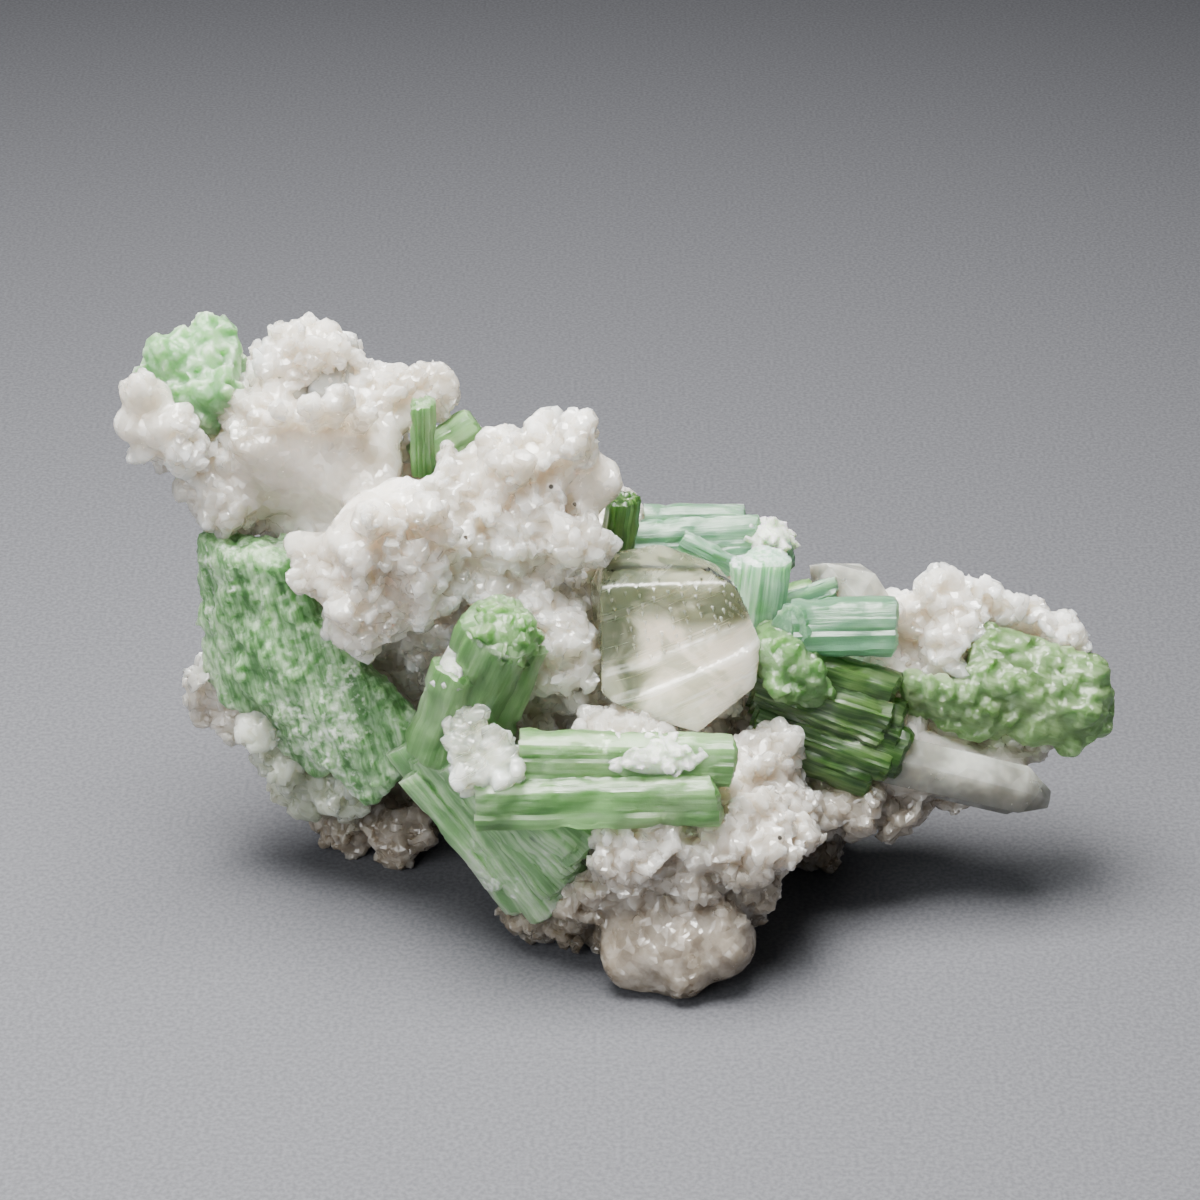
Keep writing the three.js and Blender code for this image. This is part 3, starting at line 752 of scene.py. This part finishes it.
def tourmaline_group(name, node, prisms, material, wear, seed):
    """A group of prisms grown into each other."""
    chance = random.Random(seed)
    grown = [tourmaline_prism(*prism, chance) for prism in prisms]
    group = grown[0]
    for other in grown[1:]:
        apply(group, "BOOLEAN", operation="UNION", solver="MANIFOLD", object=other)
        bpy.data.objects.remove(other)
    group.name = name
    if name in CRUSTED:
        # under a crust the prisms have lost their form, and the crust's crystals are one with them
        face_size, spacing, sizes, grains, thickness = CRUSTED[name]
        remesh(group, 0.5)
        apply(group, "DISPLACE", strength=0.9 * MM, mid_level=0.0)
        remesh(group, 0.5)
        apply(group, "SMOOTH", factor=0.5, iterations=2)
        apply(group, "DISPLACE", strength=-0.9 * MM, mid_level=0.0)
        remesh(group, 0.4)
        apply(group, "DISPLACE", texture=worn, texture_coords="LOCAL", strength=wear * MM, mid_level=0.4)
        crystal_faces(group, face_size, 0.5, 0.15 * face_size, seed, lambda place: 1)
        strewn = crust("strewn", group, grains, spacing, sizes, 0.8, seed, material, thickness)
        fuse(group, strewn)
        remesh(group, 0.22)
        apply(group, "SMOOTH", factor=0.4, iterations=2)
    else:
        apply(group, "DISPLACE", texture=worn, texture_coords="LOCAL", strength=wear * MM, mid_level=0.5)
        crystal_faces(group, 3.2, 0.16, 0.10, seed, lambda place: 1)
    stand_on_table(group)
    return finish_piece(group, material, 32, (node,))


# The groups under a crust: the size of their own faces, how far apart the crust's crystals sit, their sizes,
# which they are, and how thick at a place.
CRUSTED = {
    "mint_top_left_spray": (1.6, 1.0, (0.9, 1.9), coarse_grains, lambda place, normal: 0.9),
    "frosted_left_wall": (
        1.6, 0.9, (0.4, 1.1), fine_grains, lambda place, normal: 0.4 * patches(place, 4, 0.4),
    ),
    "mint_knot": (2.6, 1.6, (0.9, 1.8), fine_grains, lambda place, normal: 0.4),
    "green_right_arm": (
        2.4, 0.8, (0.4, 0.9), fine_grains, lambda place, normal: 0.5 * patches(place, 5, 0.12),
    ),
}

# The groups of prisms: name, node, material, slot, wear, and each prism's start, end and radius.
TOURMALINES = [
    ("mint_top_left_spray", "tourmaline_top_left_spray", spray_green, "mint_tourmaline", 0.9, [
        ((-35.5, 9, 44), (-42.2, 8, 49.8), 1.9),
        ((-35.5, 9, 44), (-40.2, 7.8, 51.8), 2.0),
        ((-35, 9.5, 44), (-37.2, 9, 52.4), 2.0),
        ((-35, 8.5, 43.4), (-39.6, 5.4, 48.6), 2.1),
        ((-35, 8.5, 43.4), (-36.6, 5.2, 49.6), 1.9),
    ]),
    ("frosted_left_wall", "tourmaline_left_wall", wall_green, "green_tourmaline", 0.6, [
        ((-36.2, 3.6, 20), (-36.0, 3.6, 34.8), 2.2),
        ((-34.4, 1.4, 18.6), (-33.9, 1.4, 35), 2.4),
        ((-31.4, 0.8, 21), (-30.6, 0.8, 35), 2.7),
        ((-35.8, 6.8, 18.5), (-35.6, 6.8, 33), 2.5),
        ((-30.8, 0.0, 30.4), (-19.4, -5.2, 18.6), 2.3),
        ((-32.8, -0.4, 28.0), (-20.0, -5.8, 15.4), 2.4),
        ((-34.0, 0.0, 24.2), (-21.8, -4.8, 13.2), 2.3),
        ((-33.8, 1.2, 19.6), (-26.6, -1.8, 13.8), 2.0),
    ]),
    ("green_centre_stub", "tourmaline_centre_stub", green, "green_tourmaline", 0.6, [
        ((-15.8, -7.6, 19.6), (-10.6, -8.2, 32.4), 3.4),
        ((-17.2, -9, 19.6), (-14.4, -9.4, 28.4), 2.2),
        ((-12.8, -7, 19.6), (-9.0, -7, 29.8), 2.4),
    ]),
    ("green_lower_fan", "tourmaline_lower_fan", fan_green_with_painted_light, "green_tourmaline", 0.4, [
        ((-19.2, -6.4, 19.6), (-8.4, -11.4, 5.2), 2.3),
        ((-17.0, -8.4, 20), (-6.2, -12.8, 5.6), 2.4),
        ((-14.6, -9.6, 20), (-4.6, -13.2, 8.4), 2.4),
        ((-12.4, -11.2, 20.2), (-3.4, -13.6, 12.2), 2.3),
        ((-18.6, -9, 18), (-10.2, -12, 8), 1.7),
        ((-18.2, -8.6, 19.4), (-7.6, -13.0, 6.6), 1.3),
        ((-16.4, -9.6, 19.6), (-6.0, -14.2, 8.2), 1.3),
        ((-14.6, -10.8, 19.8), (-4.6, -14.6, 10.6), 1.2),
        ((-13.2, -12.0, 19.6), (-4.4, -15.0, 12.8), 1.1),
    ]),
    ("green_front_bar", "tourmaline_front_bar", green, "green_tourmaline", 0.45, [
        ((-9.2, -13.8, 22.2), (9.6, -14.1, 21.9), 2.4),
        ((-13.0, -15.6, 18.7), (8.2, -16.4, 19.7), 2.3),
        ((-7.4, -12.4, 20.4), (8.6, -12.6, 20.2), 2.2),
    ]),
    ("mint_knot", "tourmaline_mint_knot", knot_green, "mint_tourmaline", 0.9, [
        ((15.5, 1, 24.6), (15.3, -5.4, 25.0), 2.7),
        ((13.2, 1, 26), (13.4, -4.2, 26.2), 1.5),
        ((17.4, 0, 23.4), (17.4, -4.8, 23.4), 1.5),
    ]),
    ("deep_green_right_fan", "tourmaline_right_fan", deep_green, "dark_tourmaline", 0.4, [
        ((12, -0.6, 22.2), (25.2, -3.4, 18.6), 2.5),
        ((12, -2.4, 20.4), (25.6, -5, 16.9), 2.3),
        ((12, -1, 24.8), (24.4, -3.0, 21.8), 2.5),
        ((12, -3.6, 18.4), (22.6, -5.6, 15.2), 2.1),
        ((12, -2.4, 21.8), (25.0, -5.0, 18.0), 1.7),
        ((12, -2.6, 23.6), (24.0, -4.6, 20.6), 1.6),
        ((12, -3.8, 20.0), (24.2, -6.2, 16.4), 1.5),
        ((12, -3.2, 22.8), (23.4, -5.4, 19.2), 1.2),
    ]),
    ("mint_upright", "tourmaline_mint_upright", mint_with_painted_light, "mint_tourmaline", 0.15, [
        ((12.3, 1.6, 25.6), (13.0, 2.2, 33.4), 2.1),
        ((10.8, 3, 25.6), (11.2, 3.4, 32.2), 1.4),
    ]),
    ("mint_bar", "tourmaline_mint_bar", mint, "mint_tourmaline", 0.15, [
        ((15.2, -0.6, 27.5), (24.5, -0.9, 27.9), 2.6),
        ((14.4, 2.2, 28.0), (19.4, 3.4, 29.2), 1.2),
        ((15.0, -2.2, 28.6), (17.2, 0.4, 27.6), 1.9),
    ]),
    ("mint_back_upper", "tourmaline_back_upper", mint, "mint_tourmaline", 0.35, [
        ((0.6, 8, 31.6), (12.4, 8, 32.2), 2.0),
        ((2, 9.8, 32.8), (11.2, 9.8, 32.8), 1.4),
        ((5.0, 7, 30.4), (15.4, 7.2, 31.2), 1.7),
        ((5.4, 5.8, 33.0), (11.2, 4.0, 30.8), 0.9),
    ]),
    ("green_right_arm", "tourmaline_right_arm", arm_green, "green_tourmaline", 0.4, [
        ((31.6, 1.6, 24.2), (43.6, 0.8, 20.6), 2.6),
        ((32.0, -0.8, 23.0), (43.4, -1.0, 19.6), 2.4),
        ((33, 1, 20.4), (44.6, 0.2, 18.0), 2.3),
        ((32.4, -1.4, 19.6), (42, -1.4, 16.8), 2.2),
        ((25.4, -1.6, 22.6), (34.0, -2.8, 20.2), 1.5),
        ((26.0, -1.2, 20.4), (33.0, -2.6, 18.2), 1.3),
    ]),
    ("green_thin_prism", "tourmaline_thin_prism", green, "green_tourmaline", 0.08, [
        ((-17.8, 3.6, 41.2), (-17.7, 3.6, 48.2), 1.05),
    ]),
    ("green_behind_knobs", "tourmaline_behind_knobs", green, "dark_tourmaline", 0.2, [
        ((-18.4, 6, 40.6), (-13.0, 7, 44), 1.9),
    ]),
    ("green_beside_knobs", "tourmaline_beside_knobs", deep_green, "dark_tourmaline", 0.2, [
        ((-0.8, 4.4, 31), (0.1, 5, 37.8), 1.5),
    ]),
    ("green_rear_spray", "tourmaline_rear_spray", green, "green_tourmaline", 0.4, [
        ((-12, 11, 26), (-19, 18.6, 33), 2.3),
        ((-11, 11, 26), (-14.5, 20.4, 30.4), 2.5),
        ((-10, 11, 25), (-9.6, 20.8, 28.6), 2.2),
    ]),
    ("green_rear_bar", "tourmaline_rear_bar", green, "green_tourmaline", 0.2, [
        ((5, 12, 15), (20, 15.4, 17.6), 2.5),
        ((6, 13, 18), (18.6, 16.2, 20.8), 2.2),
    ]),
]

for seed, (name, node, material, slot, wear, prisms) in enumerate(TOURMALINES):
    tourmaline_group(name, node, prisms, material, wear, seed)

# Where the quartz is smooth and not crystalline: place, radius, soft edge, and the other end of a long place.
SMOOTH_PLACES = [
    ((-24.5, -1.0, 42.2), 5.6, 2.5, None),  # the cream face of the big knob
    ((-29.5, 0.6, 41.6), 4.6, 2.5, None),
    ((-20.6, 1.0, 43.6), 3.2, 2.0, None),
    ((1.6, -17.0, 3.8), 4.0, 1.5, (8.4, -17.2, 4.4)),  # the worn lumps at the foot
    ((-41.8, 3.2, 47.0), 3.4, 1.0, None),  # the beads at the far left
    ((-1.8, 2.0, 41.2), 3.0, 1.0, None),  # the bead at the right of the top knob
    ((25.0, -4.2, 16.0), 2.6, 1.0, (38.6, -4.4, 12.4)),  # the pale bar
    ((22.2, 5.2, 26.0), 2.8, 1.0, (18.8, 5.0, 31.0)),  # the pointed crystal behind the mint bar
]

# Rounded lumps of quartz, at the far left and at the foot: place, radius.
BEADS = [
    ((1.6, -17.0, 4.4), 3.5),
    ((8.4, -17.2, 5.0), 3.7),
    ((5.0, -18.0, 4.2), 3.4),
    ((-42.3, 2.8, 49.3), 1.9),
    ((-43.3, 2.8, 46.5), 1.7),
    ((-41.0, 1.4, 46.3), 1.6),
    ((-42.0, 2.6, 43.7), 1.7),
    ((-39.2, 1.6, 47.6), 1.3),
    ((-39.0, 1.2, 44.4), 1.7),
]


def quartz_roughness(place):
    """How crystalline the quartz is: all of it, but for its smooth places."""
    smooth = max(near(place, centre, radius, edge, end) for centre, radius, edge, end in SMOOTH_PLACES)
    return 1 - 0.9 * smooth


# Cloudy six-sided crystals that stand out of the mass: start, end, radius.
POINTS = [
    ((23.0, -4.4, 16.4), (39.2, -4.8, 12.3), 2.6),
    ((27.0, -2.4, 13.6), (38.2, -3.8, 11.1), 2.4),
    ((22.4, 5.0, 25.0), (18.6, 4.8, 31.4), 3.1),
    ((-30.0, 8.0, 44.0), (-29.6, 6.6, 52.6), 3.5),
    ((-28.0, 8.0, 44.0), (-24.8, 7.6, 52.2), 3.4),
]

# Smaller ones that are one with the crust of the knobs and of the shelf.
CRUST_POINTS = [
    ((-20.0, -3.0, 39.0), (-22.6, -8.8, 43.8), 2.0),
    ((-18.6, -3.0, 39.0), (-16.2, -7.6, 44.2), 1.8),
    ((-10.0, 1.0, 41.0), (-8.8, -3.5, 46.4), 1.8),
    ((-5.8, 2.0, 43.0), (-3.0, -0.8, 48.6), 1.9),
    ((13.8, -5.0, 15.2), (14.5, -9.8, 18.6), 1.5),
    ((-27.5, 3.0, 46.6), (-27.0, -0.8, 50.6), 1.3),
    ((-25.6, 3.0, 47.0), (-24.4, -0.4, 51.4), 1.4),
    ((-23.4, 3.0, 46.2), (-22.0, -0.6, 49.6), 1.1),
    ((-29.6, 3.4, 46.6), (-30.2, -0.4, 49.8), 1.1),
]


def quartz_point(start, end, radius, chance):
    """A six-sided crystal that ends in a slanted, worn pyramid."""
    foot, tip, radius = spot(start), spot(end), radius * MM
    axis = tip - foot
    cap = 1.1 * radius
    bpy.ops.mesh.primitive_cylinder_add(vertices=6, radius=radius, depth=axis.length - cap)
    point = bpy.context.object
    bpy.ops.object.mode_set(mode="EDIT")
    select_top(point)
    bpy.ops.mesh.extrude_region_move(TRANSFORM_OT_translate={"value": (0.2 * radius, 0.1 * radius, cap)})
    bpy.ops.transform.resize(value=(0.35, 0.12, 1))
    bpy.ops.object.mode_set(mode="OBJECT")
    for vertex in point.data.vertices:
        vertex.co += Vector((chance.uniform(-1, 1), chance.uniform(-1, 1), 0)) * 0.1 * radius
    point.rotation_mode = "QUATERNION"
    point.rotation_quaternion = axis.to_track_quat("Z", "Y") @ Quaternion((0, 0, 1), chance.uniform(0, 6))
    point.location = foot + axis * 0.5 - axis.normalized() * cap / 2
    only(point)
    bpy.ops.object.transform_apply(location=True, rotation=True, scale=True)
    apply(point, "BEVEL", width=0.15 * MM, segments=2, limit_method="ANGLE", angle_limit=math.radians(15))
    return point


point_chance = random.Random(3)

# The quartz mass: its crevices are closed, it is cut into crystal ends, and crusts are fused to it.
quartz = copy_of("quartz_mass", "milky_quartz_mass")
remesh(quartz, 0.6)
apply(quartz, "DISPLACE", strength=1.0 * MM, mid_level=0.0)
remesh(quartz, 0.6)
apply(quartz, "SMOOTH", factor=0.5, iterations=3)
apply(quartz, "DISPLACE", strength=-0.8 * MM, mid_level=0.0)
beads = []
for place, radius in BEADS:
    bpy.ops.mesh.primitive_ico_sphere_add(subdivisions=3, radius=radius * MM, location=spot(place))
    beads.append(bpy.context.object)
    bpy.ops.object.transform_apply(location=True, rotation=True, scale=True)
fuse(quartz, *beads)
remesh(quartz, 0.4)
apply(quartz, "SMOOTH", factor=0.5, iterations=4)
for vertex in quartz.data.vertices:
    # the shelf under the front bar stands out as far as the bar does
    vertex.co += SHELF_PULL * near(vertex.co / MM, (3.0, -12.0, 11.4), 3.0, 6.0, (11.0, -11.0, 11.6))
crystal_faces(quartz, 6.5, 0.45, 0.6, 6, quartz_roughness)
crystal_faces(quartz, 2.8, 0.55, 0.4, 7, quartz_roughness)
coarse_crust = crust(
    "coarse_crust", quartz, coarse_grains, 2.4, (1.3, 2.6), 0.7, 20, milky,
    lambda place, normal: 0.4 * quartz_roughness(place) ** 2 * patches(place, 7, 0.12),
)
fine_crust = crust(
    "fine_crust", quartz, fine_grains, 0.9, (0.5, 1.3), 0.9, 40, milky,
    lambda place, normal: quartz_roughness(place) ** 2 * patches(place, 4, 0.24),
)
fuse(quartz, coarse_crust, fine_crust, *[quartz_point(*place, point_chance) for place in CRUST_POINTS])
remesh(quartz, 0.27)
apply(quartz, "SMOOTH", factor=0.2, iterations=1)
crystal_faces(quartz, 1.4, 0.6, 0.2, 8, quartz_roughness)
apply(quartz, "DECIMATE", ratio=min(1, QUARTZ_TRIANGLES / (2 * len(quartz.data.polygons))))
stand_on_table(quartz)
finish_piece(quartz, milky, 28, ("quartz_mass",))

# Tiny dark specks on the showy side: how far right of the picture's middle they are seen, and how far up.
SPECKS = [(-4.4, 10.2), (-2.3, 8.6), (-12.1, 5.6), (16.2, -21.4)]  # millimetres at the cluster
upward = Vector((0, math.sin(LOOK_DOWN), math.cos(LOOK_DOWN)))
for number, (right, up) in enumerate(SPECKS):
    sight = forward * LOOK_FROM + (Vector((right, 0, 0)) + upward * up) * MM
    seen, place, _, _ = quartz.ray_cast(camera.location, sight.normalized())
    if seen:
        milky.node_tree.nodes[f"speck_{number}"].inputs[1].default_value = place

points = [quartz_point(*place, point_chance) for place in POINTS]
fuse(*points)
points[0].name = "quartz_points"
stand_on_table(points[0])
finish_piece(points[0], glassy_with_painted_shade, 20, ("quartz_mass",))

# The clear crystal: its upper half stands back a little behind ledges that rise to the right.
crystal = copy_of("clear_quartz_crystal", "clear_quartz")
apply(crystal, "BEVEL", width=1.2 * MM, segments=2, limit_method="ANGLE", angle_limit=math.radians(18))
remesh(crystal, 0.25)
apply(crystal, "SMOOTH", factor=0.5, iterations=8)
for vertex in crystal.data.vertices:
    x, y, z = vertex.co / MM + FRAME_START
    above = z - 26.2 - 0.34 * (x - 6)
    if y < -2 and vertex.normal.y < -0.5:
        vertex.co.y += (0.5 * min(max(above / 0.3, 0), 1) + 0.35 * min(max((above - 2.4) / 0.3, 0), 1)) * MM
finish_piece(crystal, clear, 40, ("clear_quartz_crystal",))

clump = copy_of("quartz_clump_on_bar", "clear_quartz_plates")
remesh(clump, 0.22)
apply(clump, "SMOOTH", factor=0.5, iterations=3)
crystal_faces(clump, 2.4, 0.7, 0.45, 7, lambda place: 1)
clump_crust = crust(
    "clump_crust", clump, coarse_grains, 1.2, (1.0, 2.2), 0.8, 45, plates,
    lambda place, normal: 0.7,
)
fuse(clump, clump_crust)
remesh(clump, 0.16)
finish_piece(clump, plates, 35, ("quartz_clump_on_bar",))


def druse_patch(name, place, half_size, thickness, material, slot, node, seed):
    """A small patch of druse: crystals on a flat pad that is sunk in a body."""
    bpy.ops.mesh.primitive_ico_sphere_add(subdivisions=4, radius=MM, location=spot(place))
    pad = bpy.context.object
    pad.name = name
    pad.scale = half_size
    bpy.ops.object.transform_apply(location=True, rotation=True, scale=True)
    strewn = crust(
        "strewn", pad, fine_grains, 0.8, (0.8, 1.6), 0.8, seed, material,
        lambda place, normal: thickness,
    )
    fuse(pad, strewn)
    remesh(pad, 0.14)
    apply(pad, "SMOOTH", factor=0.3, iterations=1)
    return finish_piece(pad, material, 28, (node,))


# Patches of druse: name, place, half of their size, how thick the grains sit, material, slot, node.
PATCHES = [
    (
        "front_bar_druse", (3.0, -14.7, 22.9), (4.4, 2.0, 1.6), 0.9,
        pale_druse, "green_tourmaline", "tourmaline_front_bar",
    ),
    (
        "back_upper_druse", (13.4, 7.4, 32.2), (2.2, 1.7, 1.6), 0.9,
        pale_druse, "mint_tourmaline", "tourmaline_back_upper",
    ),
    (
        "stub_top_druse", (-10.8, -7.9, 30.8), (3.4, 3.0, 3.0), 0.5,
        knot_green, "green_tourmaline", "tourmaline_centre_stub",
    ),
    (
        "stub_side_druse", (-14.9, -9.6, 28.2), (1.7, 1.5, 1.6), 0.9,
        pale_druse, "green_tourmaline", "tourmaline_centre_stub",
    ),
]
for seed, patch in enumerate(PATCHES):
    druse_patch(*patch, 100 + seed)

for box in (coarse_grains, fine_grains):
    for model in list(box.objects):
        bpy.data.objects.remove(model)
    bpy.data.collections.remove(box)
